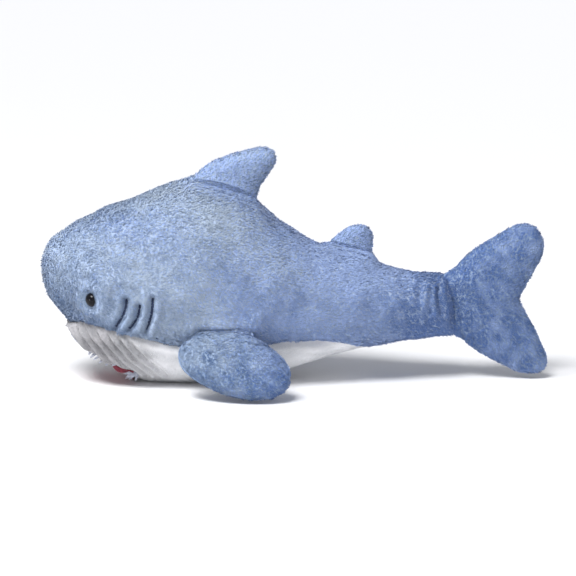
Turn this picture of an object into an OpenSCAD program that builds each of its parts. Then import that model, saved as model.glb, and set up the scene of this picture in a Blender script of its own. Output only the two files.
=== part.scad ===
// Stuffed plush shark lying on its belly, made of cloth panels, fibre filling and small sewn-on pieces.
// The nose points to -X and the back to +Z, so the shark's left side faces -Y.
// The origin is on the floor, under the middle of the whole shark.

/* [Overall] */
// Length from the nose to the rear edge of the tail fin, without the pile
total_length = 506; // [490:1:520]
// Thickness of the plush cloth on the body, backing and pile together
skin = 4; // [3:0.5:5]
// Thickness of the plush cloth on the fins
fin_skin = 2.5; // [2:0.5:3]
// Clearance between neighbouring pieces
gap = 0.3; // [0.2:0.05:0.5]
// Slack between the body's skin and its filling
slack = 1.6; // [1.4:0.1:2]

/* [Fins] */
// Thickness of the first dorsal fin at its fullest
first_dorsal_thickness = 25; // [20:1:28]
// Thickness of the second dorsal fin at its fullest
second_dorsal_thickness = 18; // [14:1:20]
// Thickness of a pectoral fin at its fullest
pectoral_thickness = 28; // [22:1:30]
// Thickness of the tail fin at its fullest
tail_thickness = 27; // [20:1:30]
// Angle below level at which a pectoral fin leaves the body
pectoral_droop = 48; // [44:1:52]

/* [Face] */
// Diameter of each eye
eye_diameter = 14; // [12:1:16]
// Height of the eye's dome
eye_height = 5; // [4:0.5:6]
// Angle by which each eye turns from the cheek towards the nose
eye_turn = 22; // [0:1:24]
// Length of the mouth from the front lip to the corners
mouth_length = 58; // [50:1:60]
// Width of the mouth from corner to corner
mouth_width = 80; // [70:1:84]
// Depth of the mouth's pocket
mouth_depth = 12; // [8:1:14]
// Number of teeth on the upper lip
upper_tooth_count = 15; // [9:1:19]
// Number of teeth on the lower lip
lower_tooth_count = 9; // [5:1:11]
// Diameter of the thread bundle that draws each gill slit
gill_thread = 2.4; // [1.6:0.2:3]

/* [Tail bend] */
// Radius of the upright knuckle that the tail bends on
knuckle_radius = 24; // [20:1:26]

/* [Hidden] */

blue = "#8FA5C8";
white = "#E4E6EA";
fibre = "#F7F5EE";
red = "#8E2F45";
black = "#101014";
navy = "#26355C";

// The lists below are drawn for this length, and scale with total_length.
drawn_length = 506;
ratio = total_length / drawn_length;
nose_x = -total_length / 2;
nose_z = 114 * ratio;
nose_length = 45 * ratio;

// Outline of the body against the distance from the nose: [distance, value]
TOP = [[0, 157], [25, 158], [45, 167], [70, 178], [100, 187], [155, 202], [215, 181], [260, 149], [310, 131],
    [360, 114], [413, 107]];
BOTTOM = [[0, 67], [16, 64], [28, 56], [34, 40], [48, 26], [70, 9], [95, 0], [150, -4], [205, 0], [250, 11],
    [310, 29], [360, 40], [413, 45]];
WIDTH = [[0, 39], [20, 44], [40, 52], [65, 66], [100, 77], [150, 84], [200, 79], [260, 62], [310, 47],
    [360, 33], [400, 25], [413, 14]];
// Height of the seam between the blue sides and the white belly
SEAM = [[28, 60], [34, 64], [70, 61], [100, 55], [135, 46], [200, 44], [250, 45], [290, 42], [313, 30]];

// Distances from the nose at which the body's sections stand
BODY_STATIONS = [0.05, 1, 3, 6, 10, 15, 21, 28, 29, 31, 35, 41, 50, 62, 76, 92, 110, 130, 152, 175, 198, 220,
    242, 262, 280, 296, 306, 312, 313, 324, 338];
STOCK_STATIONS = [348, 360, 374, 388, 400, 408, 413];
belly_front = 8;
belly_rear = 27;
// The seam between the left and right halves takes this angle on each side
seam_deg = 0.12;
side_steps = 10;
belly_steps = 8;
ring_steps = 28;

// The tail leans, so that its root seam runs down and back
tail_lean = -0.14;
lean_start = 360 * ratio;
lean_end = 413 * ratio;
bend_station = 343 * ratio;

// Fin outlines as [distance from nose, height] on the body's middle plane, from the root to the tip
FIRST_LEAD = [[149, 203], [163, 217], [182, 226], [205, 233], [222, 236.5]];
FIRST_TRAIL = [[215, 184], [219, 196], [229, 211], [235, 222], [233, 232]];
SECOND_LEAD = [[287, 141], [296, 148], [306, 155], [316, 157]];
SECOND_TRAIL = [[331, 129], [332, 138], [331, 149], [325, 156]];
// The tail fin's front and rear outlines run from the lower tip to the upper tip
TAIL_LEAD = [[497, 4], [480, 7], [454, 20], [432, 33], [421, 44], [416, 76], [412, 108], [426, 127],
    [448, 142], [472, 156], [485, 158]];
TAIL_TRAIL = [[504, 8], [506, 19], [500, 36], [489, 58], [482, 70], [478, 80], [482, 90], [491, 106],
    [501, 126], [502, 140], [495, 154]];
// A pectoral fin's outline as [distance from nose, distance from its root]
PECTORAL_LEAD = [[150, 0], [137, 14], [138, 32], [153, 48], [180, 62], [208, 69]];
PECTORAL_TRAIL = [[212, 0], [227, 10], [245, 28], [250, 42], [246, 58], [230, 68]];
pectoral_root = [80 * ratio, 61 * ratio];
pectoral_curl = 0.2;
// How far a fin's root edge bows up to follow the back
first_bow = 6.5 * ratio;
second_bow = 1.5 * ratio;
fin_steps = 8;
chord_steps = 8;
tail_steps = 22;
hem = 0.06;

mouth_corner = 91 * ratio;
mouth_front_z = 42 * ratio;
mouth_slope = 0.72;
lining = 1.8;

eye_station = 51 * ratio;
eye_angle = 87;
shank_radius = 2;
washer_radius = 9;
washer_thickness = 1.5;
washer_depth = skin + 1.5 + washer_radius * sin(eye_turn);
shank_length = washer_depth + washer_thickness + 2;

gill_bottom = 64 * ratio;
// Each gill slit's [top distance from nose, top height, how far its lower end sweeps forward]
GILLS = [[85, 95, 12], [99, 90, 12], [112, 98, 7]];
gill_steps = 8;

stitch_count = 10;
stitch_radius = 0.4;
stitch_length = 6;

$fn = 48;

// ---------------------------------------------------------------- curves

// Cubic through the knots [x, value] of a list, read at x
function segment(knots, x) = max([for (i = [0:len(knots) - 2]) if (i == 0 || knots[i][0] <= x) i]);
function slope(knots, i) =
    let (a = knots[max(i - 1, 0)], b = knots[min(i + 1, len(knots) - 1)])
    (b[1] - a[1]) / (b[0] - a[0]);
function hermite(y0, y1, m0, m1, t) =
    let (r = 1 - t)
    y0 * (1 + 2 * t) * r * r + m0 * t * r * r + y1 * t * t * (3 - 2 * t) - m1 * t * t * r;
function curve(knots, x) =
    let (i = segment(knots, x), w = knots[i + 1][0] - knots[i][0], t = (x - knots[i][0]) / w)
    hermite(knots[i][1], knots[i + 1][1], slope(knots, i) * w, slope(knots, i + 1) * w, t);

// Smooth line through a list of points, read at t from 0 to 1
function spline(points, t) =
    let (
        last = len(points) - 1,
        i = min(floor(t * last), last - 1),
        f = t * last - i,
        m0 = (points[i + 1] - points[max(i - 1, 0)]) / 2,
        m1 = (points[min(i + 2, last)] - points[i]) / 2
    )
    hermite(points[i], points[i + 1], m0, m1, f);

function smooth(t) = let (c = min(max(t, 0), 1)) c * c * (3 - 2 * c);

// Values from 0 to 1, closer together near both ends
function eased(i, steps) = (1 - cos(180 * i / steps)) / 2;

// ---------------------------------------------------------------- the body's surface

function nose_round(s) = sqrt(1 - pow(1 - min(s / nose_length, 1), 2));
function top_z(s) = nose_z + (ratio * curve(TOP, s / ratio) - nose_z) * nose_round(s);
function bottom_z(s) = nose_z + (ratio * curve(BOTTOM, s / ratio) - nose_z) * nose_round(s);
function half_width(s) = ratio * curve(WIDTH, s / ratio) * nose_round(s);
function mid_z(s) = (top_z(s) + bottom_z(s)) / 2;
function half_height(s) = (top_z(s) - bottom_z(s)) / 2;
function lean(s) = tail_lean * smooth((s - lean_start) / (lean_end - lean_start));

// Angle a runs from 0 under the belly to 180 on the back; it is negative on the left side
function body_pt(s, a) =
    let (rise = -half_height(s) * cos(a))
    [nose_x + s + lean(s) * rise, half_width(s) * sin(a), mid_z(s) + rise];

function body_normal(s, a) =
    let (
        step = 0.02,
        along = (body_pt(s + step, a) - body_pt(s, a)) / step,
        around = [lean(s) * half_height(s) * sin(a), half_width(s) * cos(a), half_height(s) * sin(a)],
        n = cross(around, along)
    )
    n / norm(n);

// Angle on the body that lies at height z
function angle_at(s, z) = acos(min(max((mid_z(s) - z) / half_height(s), -1), 1));

// Angle of the seam between the blue side and the white belly; 0 where there is no belly panel
function seam_angle(s) =
    let (drawn = s / ratio, last = len(SEAM) - 1)
    drawn <= SEAM[0][0] || drawn >= SEAM[last][0] ? 0 : angle_at(s, ratio * curve(SEAM, drawn));

// A point this deep under the surface, kept above the floor
function skin_pt(s, a, depth) =
    let (p = body_pt(s, a) - depth * body_normal(s, a))
    [p[0], p[1], max(p[2], depth)];

// Rows of points at some stations, each between two angles
function skin_grid(stations, depth, lower, upper, steps) = [
    for (station = stations)
        let (s = station * ratio, from = lower(s), to = upper(s))
        [for (j = [0:steps]) skin_pt(s, from + (to - from) * j / steps, depth)]
];

// ---------------------------------------------------------------- solids from grids of points

function flat(rows) = [for (row = rows) each row];
function flipped(faces) = [for (f = faces) [f[2], f[1], f[0]]];

// Two triangles for each cell of a grid with the given rows and columns
function grid_faces(rows, columns, start) = [
    for (i = [0:rows - 2], j = [0:columns - 2]) let (a = start + i * columns + j) each
        [[a, a + 1, a + columns + 1], [a, a + columns + 1, a + columns]]
];

// Wall between two loops of point numbers
function wall_faces(loop, other) = [
    for (i = [0:len(loop) - 1]) let (n = (i + 1) % len(loop)) each
        [[loop[n], loop[i], other[i]], [loop[n], other[i], other[n]]]
];

// Point numbers round the edge of a grid
function edge_loop(rows, columns, start) = [
    for (j = [0:columns - 2]) start + j,
    for (i = [0:rows - 2]) start + i * columns + columns - 1,
    for (j = [columns - 1:-1:1]) start + (rows - 1) * columns + j,
    for (i = [rows - 1:-1:1]) start + i * columns
];

// Closed solid between an outer and an inner grid of the same size; flip turns its faces inside out
module sheet_solid(outer, inner, flip) {
    rows = len(outer);
    columns = len(outer[0]);
    count = rows * columns;
    faces = concat(
        grid_faces(rows, columns, 0),
        flipped(grid_faces(rows, columns, count)),
        wall_faces(edge_loop(rows, columns, 0), edge_loop(rows, columns, count))
    );
    polyhedron(points = concat(flat(outer), flat(inner)), faces = flip ? flipped(faces) : faces);
}

// Closed solid through a row of rings, with a pointed or flat end at each side
module ring_solid(rings) {
    rows = len(rings);
    n = len(rings[0]);
    count = rows * n;
    middle = function (ring) [for (c = [0:2]) [for (p = ring) p[c]] * [for (p = ring) 1 / n]];
    sides = [
        for (i = [0:rows - 2], j = [0:n - 1]) let (
            a = i * n + j,
            b = i * n + (j + 1) % n
        ) each [[a, b, b + n], [a, b + n, a + n]]
    ];
    first = [for (j = [0:n - 1]) [(j + 1) % n, j, count]];
    last = [for (j = [0:n - 1]) [(rows - 1) * n + j, (rows - 1) * n + (j + 1) % n, count + 1]];
    polyhedron(
        points = concat(flat(rings), [middle(rings[0]), middle(rings[rows - 1])]),
        faces = flipped(concat(sides, first, last))
    );
}

// Moves the children to a point of the body's surface, with +Z along the outward normal or turned off it
module on_body(s, a, turn = 0) {
    n = body_normal(s, a);
    translate(body_pt(s, a)) rotate([0, acos(n[2]), atan2(n[1], n[0]) + turn]) children();
}

// ---------------------------------------------------------------- body panels and filling

// Right half of the body's skin between two angles
module right_panel(stations) {
    lower = function (s) seam_angle(s) + seam_deg;
    upper = function (s) 180 - seam_deg;
    sheet_solid(
        skin_grid(stations, 0, lower, upper, side_steps),
        skin_grid(stations, skin, lower, upper, side_steps),
        true
    );
}

// Plain cushion that fills the skin over some stations
module cushion(stations) {
    ring_solid([
        for (s = stations)
            [for (j = [0:ring_steps - 1]) skin_pt(s * ratio, 360 * j / ring_steps, skin + slack)]
    ]);
}

// Ceiling of the mouth's pocket, depth above the plane of the lips
module below_mouth_plane(depth) {
    far = 200;
    front_x = nose_x + mouth_corner - mouth_length;
    rise = mouth_front_z + depth + mouth_slope * front_x;
    multmatrix([[1, 0, 0, 0], [0, 1, 0, 0], [-mouth_slope, 0, 1, rise], [0, 0, 0, 1]])
        translate([-far * 2, -far / 2, -far]) cube([far * 3, far, far]);
}

// Upright prism of the mouth's outline, grown by a margin
module mouth_prism(margin) {
    height = 80;
    translate([nose_x + mouth_corner + margin, 0, -10]) linear_extrude(height)
        intersection() {
            scale([(mouth_length + 2 * margin) / (mouth_width / 2 + margin), 1])
                circle(r = mouth_width / 2 + margin);
            translate([-height, -height]) square([height, 2 * height]);
        }
}

module mouth_space(margin) {
    intersection() {
        mouth_prism(margin);
        below_mouth_plane(mouth_depth + margin);
    }
}

module eye_side(side) {
    if (side < 0) mirror([0, 1, 0]) on_body(eye_station, eye_angle, eye_turn) children();
    else on_body(eye_station, eye_angle, eye_turn) children();
}

module left_side_panel() {
    color(blue) mirror([0, 1, 0]) pierced_panel();
}

module right_side_panel() {
    color(blue) pierced_panel();
}

// Side panel with the hole for the eye's shank, and the dent that the eye presses into the cloth
module pierced_panel() {
    difference() {
        right_panel(BODY_STATIONS);
        eye_side(1) union() {
            cylinder(r = shank_radius + gap, h = 6 * skin, center = true);
            cylinder(r = eye_diameter / 2 + gap, h = 3 * skin);
        }
    }
}

module belly_panel() {
    stations = [for (i = [belly_front:belly_rear]) BODY_STATIONS[i]];
    lower = function (s) seam_deg * 2 - seam_angle(s);
    upper = function (s) seam_angle(s) - seam_deg * 2;
    color(white) difference() {
        sheet_solid(
            skin_grid(stations, 0, lower, upper, belly_steps),
            skin_grid(stations, skin, lower, upper, belly_steps),
            true
        );
        mouth_space(0);
    }
}

module body_filling() {
    color(fibre) difference() {
        cushion(BODY_STATIONS);
        mouth_space(lining + 2 * gap);
        for (side = [-1, 1]) eye_side(side)
            translate([0, 0, -shank_length - gap]) cylinder(r = washer_radius + gap, h = shank_length);
        knuckle(2 * gap);
    }
}

module mouth_lining() {
    color(red) intersection() {
        cushion(BODY_STATIONS);
        difference() {
            mouth_space(lining + gap);
            mouth_space(gap);
        }
    }
}

// ---------------------------------------------------------------- face

// Height of the body's lower surface under a point in plan
function under_z(s, y) = mid_z(s) - half_height(s) * sqrt(1 - pow(y / half_width(s), 2));

// Felt tooth in the XZ plane, with its root on the X axis and its point down
module tooth(width, length) {
    thickness = 1.2;
    translate([0, thickness / 2, 0]) rotate([90, 0, 0]) linear_extrude(thickness)
        polygon([[-width / 2, 0], [width / 2, 0], [width / 8, -length], [-width / 8, -length]]);
}

module upper_teeth() {
    spread = 74;
    inset = 2.3;
    root = 1.5;
    color(white) for (i = [0:upper_tooth_count - 1]) {
        t = -spread + 2 * spread * i / (upper_tooth_count - 1);
        s = mouth_corner - (mouth_length - inset) * cos(t);
        y = (mouth_width / 2 - inset) * sin(t);
        turn = atan2(mouth_length * sin(t), mouth_width / 2 * cos(t));
        translate([nose_x + s, y, max(under_z(s, y), 6) + root]) rotate([0, 0, 90 - turn]) tooth(6, 7);
    }
}

module lower_teeth() {
    reach = 26;
    color(white) for (i = [0:lower_tooth_count - 1]) {
        y = -reach + 2 * reach * i / (lower_tooth_count - 1);
        length = 7 + 3 * abs(y) / reach;
        translate([nose_x + mouth_corner - gap, y, max(under_z(mouth_corner, y), 0) + 2.4])
            rotate([0, 82, 0]) rotate([0, 0, 90]) tooth(6, length);
    }
}

// Domed safety eye with the shank that goes through the cloth
module eye() {
    radius = eye_diameter / 2;
    sphere_radius = (radius * radius + eye_height * eye_height) / (2 * eye_height);
    color(black) union() {
        translate([0, 0, gap]) intersection() {
            cylinder(r = radius, h = eye_height);
            translate([0, 0, eye_height - sphere_radius]) sphere(r = sphere_radius);
        }
        translate([0, 0, -shank_length + gap]) cylinder(r = shank_radius, h = shank_length + gap);
    }
}

module eye_washer() {
    color(white) translate([0, 0, -washer_depth - washer_thickness]) difference() {
        cylinder(r = washer_radius, h = washer_thickness);
        translate([0, 0, -1]) cylinder(r = shank_radius + 0.05, h = washer_thickness + 2);
    }
}

// Thread bundle that lies on the skin along one gill slit
module gill_thread_line(gill) {
    radius = gill_thread / 2;
    sides = 6;
    ring_solid([
        for (i = [0:gill_steps]) let (
            t = i / gill_steps,
            s = (gill[0] - gill[2] * t * t) * ratio,
            a = angle_at(s, gill[1] * ratio + (gill_bottom - gill[1] * ratio) * t),
            n = body_normal(s, a),
            centre = body_pt(s, a) + (radius + gap) * n,
            across = [1, 0, 0] - n[0] * n,
            side = across / norm(across)
        ) [for (j = [0:sides - 1]) centre + radius * (cos(360 * j / sides) * side + sin(360 * j / sides) * n)]
    ]);
}

module right_gills() {
    color(navy) for (gill = GILLS) gill_thread_line(gill);
}

// Ladder stitch that closes the gap through which the body was stuffed
module closing_seam() {
    first = 225 * ratio;
    last = 275 * ratio;
    color(white) for (i = [0:stitch_count - 1]) {
        s = first + (last - first) * i / (stitch_count - 1);
        on_body(s, seam_angle(s)) translate([0, 0, stitch_radius + gap]) rotate([0, 0, 90]) rotate([90, 0, 0])
            cylinder(r = stitch_radius, h = stitch_length, center = true);
    }
}

// ---------------------------------------------------------------- tail stock

module right_stock_panel() {
    color(blue) right_panel(STOCK_STATIONS);
}

module left_stock_panel() {
    color(blue) mirror([0, 1, 0]) right_panel(STOCK_STATIONS);
}

// Upright round knuckle at the tail bend, narrower at both ends, grown by a margin
module knuckle(margin) {
    clear = skin + 6;
    shoulder = 11;
    radius = knuckle_radius + margin;
    low = bottom_z(bend_station) + clear - margin;
    high = top_z(bend_station) - clear + margin;
    translate([nose_x + bend_station, 0, low]) hull() {
        cylinder(r = radius / 2, h = high - low);
        translate([0, 0, shoulder]) cylinder(r = radius, h = high - low - 2 * shoulder);
    }
}

// Filling of the tail stock, with the knuckle that turns in the body's filling
module stock_filling() {
    last = len(STOCK_STATIONS) - 1;
    short = skin / 2;
    color(fibre) union() {
        cushion([for (i = [0:last]) STOCK_STATIONS[i] - (i == last ? short : 0)]);
        knuckle(0);
    }
}

// ---------------------------------------------------------------- fins

// Fullness of a stuffed fin: 0 along every edge and 1 in the middle
function swell(u, v) = sqrt(1 - pow(abs(2 * u - 1), 2.4)) * sqrt(1 - pow(abs(2 * v - 1), 3));

// Point of a fin's outline plane, at u from front to rear and v from root to tip
function blade_mid(lead, trail, bow, u, v) =
    let (p = spline(lead, v) * ratio, q = spline(trail, v) * ratio)
    p + (q - p) * u + [0, bow * 4 * u * (1 - u) * pow(1 - v, 3)];

// One face of a fin: the half thickness stands on side, and droop bends a pectoral fin off the body
function blade_face(blade, inset, lift, thickness, side) =
    let (lead = blade[0], trail = blade[1], bow = blade[2], rows = blade[3], droops = blade[4])
    [
        for (i = [0:rows]) let (v = eased(i, rows)) [
            for (j = [0:chord_steps]) let (
                u = eased(j, chord_steps),
                p = blade_mid(lead, trail, bow, inset + u * (1 - 2 * inset), inset + v * (1 - 2 * inset)),
                t = side * (lift + thickness / 2 * swell(u, v))
            ) droops ? drooped(p, t) : [nose_x + p[0], t, p[1]]
        ]
    ];

// Point of a pectoral fin on the right side, t above its outline surface
function drooped(p, t) =
    let (angle = pectoral_droop + pectoral_curl * p[1])
    [
        nose_x + p[0],
        pectoral_root[0] + arc_out(p[1]) + t * sin(angle),
        pectoral_root[1] - arc_down(p[1]) + t * cos(angle)
    ];

// Travel outwards and downwards after a length b along a pectoral fin
function arc_out(b) =
    (sin(pectoral_droop + pectoral_curl * b) - sin(pectoral_droop)) * 180 / (PI * pectoral_curl);
function arc_down(b) =
    (cos(pectoral_droop) - cos(pectoral_droop + pectoral_curl * b)) * 180 / (PI * pectoral_curl);

module fin_panel(blade, thickness, side) {
    sheet_solid(
        blade_face(blade, 0, gap / 2, thickness, side),
        blade_face(blade, hem, gap / 2, thickness - 2 * fin_skin, side),
        true
    );
}

module fin_filling(blade, thickness) {
    spare = thickness - 2 * fin_skin - 2 * gap;
    edge = 0.05;
    color(fibre) sheet_solid(
        blade_face(blade, hem + 0.02, edge, spare, 1),
        blade_face(blade, hem + 0.02, edge, spare, -1),
        false
    );
}

first_dorsal = [FIRST_LEAD, FIRST_TRAIL, first_bow, fin_steps, false];
second_dorsal = [SECOND_LEAD, SECOND_TRAIL, second_bow, fin_steps, false];
tail = [TAIL_LEAD, TAIL_TRAIL, 0, tail_steps, false];
pectoral = [PECTORAL_LEAD, PECTORAL_TRAIL, 0, fin_steps, true];

module blue_panel(blade, thickness, side) {
    color(blue) fin_panel(blade, thickness, side);
}

module first_panel(side) {
    blue_panel(first_dorsal, first_dorsal_thickness, side);
}

module second_panel(side) {
    blue_panel(second_dorsal, second_dorsal_thickness, side);
}

// Piece of the pectoral fin on one side: its upper or lower cloth
module pectoral_panel(side, face) {
    mirror([0, side < 0 ? 1 : 0, 0]) blue_panel(pectoral, pectoral_thickness, face);
}

module pectoral_filling(side) {
    mirror([0, side < 0 ? 1 : 0, 0]) fin_filling(pectoral, pectoral_thickness);
}

left_side_panel();
right_side_panel();
belly_panel();
body_filling();
mouth_lining();
upper_teeth();
lower_teeth();
eye_side(-1) eye();  // left_eye
eye_side(1) eye();  // right_eye
eye_side(-1) eye_washer();  // left_eye_washer
eye_side(1) eye_washer();  // right_eye_washer
mirror([0, 1, 0]) right_gills();  // left_gill_stitches
right_gills();  // right_gill_stitches
closing_seam();
left_stock_panel();
right_stock_panel();
stock_filling();
blue_panel(tail, tail_thickness, -1);  // tail_fin_left_panel
blue_panel(tail, tail_thickness, 1);  // tail_fin_right_panel
fin_filling(tail, tail_thickness);  // tail_fin_filling
first_panel(-1);  // first_dorsal_left_panel
first_panel(1);  // first_dorsal_right_panel
fin_filling(first_dorsal, first_dorsal_thickness);  // first_dorsal_filling
second_panel(-1);  // second_dorsal_left_panel
second_panel(1);  // second_dorsal_right_panel
fin_filling(second_dorsal, second_dorsal_thickness);  // second_dorsal_filling
pectoral_panel(-1, 1);  // left_pectoral_upper_panel
pectoral_panel(-1, -1);  // left_pectoral_lower_panel
pectoral_filling(-1);  // left_pectoral_filling
pectoral_panel(1, 1);  // right_pectoral_upper_panel
pectoral_panel(1, -1);  // right_pectoral_lower_panel
pectoral_filling(1);  // right_pectoral_filling
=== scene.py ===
"""Looks of the stuffed plush shark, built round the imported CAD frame.

The nose points to -X and the back to +Z, so the shark's left side faces -Y. Shapes are worked out in
millimetres, with s for the distance behind the nose, as in the CAD source. Meshes are made in metres.
"""

import math

import bpy
import numpy as np
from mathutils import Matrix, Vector
from mathutils.kdtree import KDTree


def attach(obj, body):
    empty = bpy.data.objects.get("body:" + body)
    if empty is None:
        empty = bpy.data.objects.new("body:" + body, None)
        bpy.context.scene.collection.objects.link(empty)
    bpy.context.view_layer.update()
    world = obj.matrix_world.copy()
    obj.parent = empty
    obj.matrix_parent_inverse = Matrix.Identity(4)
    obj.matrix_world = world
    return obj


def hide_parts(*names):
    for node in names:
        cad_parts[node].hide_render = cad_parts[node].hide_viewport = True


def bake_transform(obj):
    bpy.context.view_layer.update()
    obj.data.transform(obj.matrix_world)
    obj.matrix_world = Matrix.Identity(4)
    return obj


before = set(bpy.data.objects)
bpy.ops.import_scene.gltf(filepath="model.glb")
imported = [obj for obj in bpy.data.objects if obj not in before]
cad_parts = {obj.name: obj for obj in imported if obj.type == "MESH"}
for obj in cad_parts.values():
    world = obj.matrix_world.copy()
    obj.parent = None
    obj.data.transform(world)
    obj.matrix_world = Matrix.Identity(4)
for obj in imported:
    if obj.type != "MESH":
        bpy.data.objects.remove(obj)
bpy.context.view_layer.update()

MM = 0.001
NOSE_X = -253.0
NOSE_Z = 114.0
NOSE_LENGTH = 45.0
BODY_LENGTH = 413.0

# The body's top, bottom and half width at distances from the nose: (distance, value)
TOP = [(0, 157), (25, 158), (45, 167), (70, 178), (100, 187), (155, 202), (215, 181), (260, 149),
       (310, 131), (360, 114), (413, 107)]
BOTTOM = [(0, 67), (16, 64), (28, 56), (34, 40), (48, 26), (70, 9), (95, 0), (150, -4), (205, 0),
          (250, 11), (310, 29), (360, 40), (413, 45)]
WIDTH = [(0, 39), (20, 44), (40, 52), (65, 66), (100, 77), (150, 84), (200, 79), (260, 62),
         (310, 47), (360, 33), (400, 25), (413, 14)]
# Height of the seam between the blue sides and the white belly
SEAM = [(28, 60), (34, 64), (70, 61), (100, 55), (135, 46), (200, 44), (250, 45), (290, 43),
        (310, 40.5), (325, 34)]
# The seams round the dorsal fins: (front and rear distance from the nose), half width, rise of the back
DORSAL_ROOTS = [((150, 214), 13.5, 5.0), ((288, 330), 10.0, 5.0)]
# Creases pressed into the sides: (line in the side view, width, depth, height of the ridge beside it)
CREASES = [([(400, 97), (398, 88), (400, 72)], 3.4, 4.6, 0.4),
           ([(391, 96), (388, 84), (389, 74)], 3.2, 1.8, 0.5),
           ([(379, 98), (377, 86)], 4.0, 1.6, 0.3)]

# Front and rear edges of the fins as (distance from nose, height), from the root to the tip; the tail
# fin's go from its lower tip to its upper one
FIRST_LEAD = [(149, 203), (163, 217), (182, 226), (205, 233), (222, 236.5)]
FIRST_TRAIL = [(215, 184), (219, 196), (229, 211), (235, 222), (233, 232)]
SECOND_LEAD = [(287, 141), (296, 148), (306, 155), (316, 157)]
SECOND_TRAIL = [(331, 129), (332, 138), (331, 149), (325, 156)]
TAIL_LEAD = [(496, 4), (479, 5), (453, 17), (431, 30), (420, 43), (416, 76), (412, 108),
             (426, 127), (448, 142), (472, 156), (485, 158)]
TAIL_TRAIL = [(504, 8), (506, 19), (500, 36), (489, 58), (482, 70), (478, 80), (482, 90),
              (491, 106), (501, 126), (502, 140), (495, 154)]
# A pectoral fin's outline as (distance from nose, distance from its root)
PECTORAL_LEAD = [(150, 0), (137, 14), (138, 32), (153, 48), (180, 62), (208, 69)]
PECTORAL_TRAIL = [(212, 0), (227, 10), (245, 28), (250, 42), (246, 58), (230, 68)]
# Its root's distance from the middle plane and height, how steeply it droops, and its bend for each mm
PECTORAL_ROOT = (80.0, 61.0)
PECTORAL_DROOP = math.radians(48)
PECTORAL_CURL = math.radians(0.2)

# The mouth's outline from below: half an ellipse that opens forward from its corners
MOUTH_CORNER = 91.0
MOUTH_LENGTH = 58.0
MOUTH_WIDTH = 80.0
# The felt points at each corner of the mouth: (how far forward and how far down they point, length)
CORNER_TEETH = [(1.0, 0.10, 15.0), (1.0, 0.42, 13.0), (0.8, 0.72, 12.0), (0.15, 0.70, 10.0)]

# Each gill slit's (distance of its top from the nose, height of its top, forward sweep of its lower end)
GILLS = [(85, 95, 12), (99, 90, 12), (112, 98, 7)]
GILL_BOTTOM = 64.0
# The white cloth's pleats in the side view: their slope in degrees, then where they start, where they
# end and how far apart they are across that slope, and their height
PLEAT_SLOPE = 48.0
PLEAT_FIRST = 71.3
PLEAT_LAST = 108.0
PLEAT_SPACING = 7.2
PLEAT_HEIGHT = 3.4
EYE_STATION = 52.0
EYE_ANGLE = math.radians(87)

# How far each cloth lies inside the outline, which the pile fills out, and how thick it is
SKIN_INSET = 1.4
BELLY_INSET = 1.2
FIN_INSET = 2.3
CLOTH = 2.0
FIN_CLOTH = 1.6
# The tufts' length and width, their number on a square millimetre, and the shades of each hue
PILE = 3.6
PILE_WIDTH = 0.9
SIDE_DENSITY = 1.4
FIN_DENSITY = 1.45
BELLY_PILE = 1.6
BELLY_PILE_WIDTH = 0.7
BELLY_DENSITY = 0.55
SHADES = 6
# Least height of the cloth and its tufts off the floor, and of the teeth
FLOOR_GAP = 0.4
TOOTH_GAP = 0.8


# ---------------- curves and noise


def hermite(y0, y1, m0, m1, t):
    """Cubic from y0 to y1 with end slopes m0 and m1."""
    r = 1 - t
    return y0 * (1 + 2 * t) * r * r + m0 * t * r * r + y1 * t * t * (3 - 2 * t) - m1 * t * t * r


def curve(knots, x):
    """Cubic through the knots (x, value), read at an array x."""
    k = np.array(knots, float)
    last = len(k) - 1
    before = np.maximum(np.arange(last + 1) - 1, 0)
    after = np.minimum(np.arange(last + 1) + 1, last)
    slope = (k[after, 1] - k[before, 1]) / (k[after, 0] - k[before, 0])
    i = np.clip(np.searchsorted(k[:, 0], x, side="right") - 1, 0, last - 1)
    w = k[i + 1, 0] - k[i, 0]
    return hermite(k[i, 1], k[i + 1, 1], slope[i] * w, slope[i + 1] * w, (x - k[i, 0]) / w)


def spline(points, t):
    """Smooth line through a list of points, read at an array t from 0 to 1."""
    p = np.array(points, float)
    last = len(p) - 1
    i = np.minimum(np.floor(t * last).astype(int), last - 1)
    f = (t * last - i)[..., None]
    m0 = (p[i + 1] - p[np.maximum(i - 1, 0)]) / 2
    m1 = (p[np.minimum(i + 2, last)] - p[i]) / 2
    return hermite(p[i], p[i + 1], m0, m1, f)


def smooth(t):
    """Soft step from 0 at t = 0 to 1 at t = 1."""
    c = np.clip(t, 0, 1)
    return c * c * (3 - 2 * c)


def hump(x, width):
    """Bell curve of height 1."""
    return np.exp(-((x / width) ** 2))


def lumps(p, wavelength, seed, waves=14):
    """Smooth random field of about unit size over points, with the given wavelength."""
    rng = np.random.default_rng(seed)
    total = np.zeros(p.shape[:-1])
    for _ in range(waves):
        d = rng.normal(size=3)
        d /= np.linalg.norm(d)
        k = 2 * math.pi / (wavelength * rng.uniform(0.7, 1.4))
        total += np.sin(p @ (d * k) + rng.uniform(0, 2 * math.pi))
    return total / math.sqrt(waves / 2)


def line_distance(s, z, line):
    """Distance in the side view from points to a line of (s, z) points."""
    best = np.full(s.shape, 1e9)
    for (s0, z0), (s1, z1) in zip(line[:-1], line[1:]):
        ds, dz = s1 - s0, z1 - z0
        t = np.clip(((s - s0) * ds + (z - z0) * dz) / (ds * ds + dz * dz), 0, 1)
        best = np.minimum(best, np.hypot(s - s0 - t * ds, z - z0 - t * dz))
    return best


def unit(v):
    return v / np.maximum(np.linalg.norm(v, axis=-1, keepdims=True), 1e-9)


# ---------------- the body's surface


def nose_round(s):
    """How far a slice of the round nose has grown, from 0 at its front to 1."""
    return np.sqrt(np.clip(1 - (1 - np.minimum(s / NOSE_LENGTH, 1)) ** 2, 0, 1))


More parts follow.
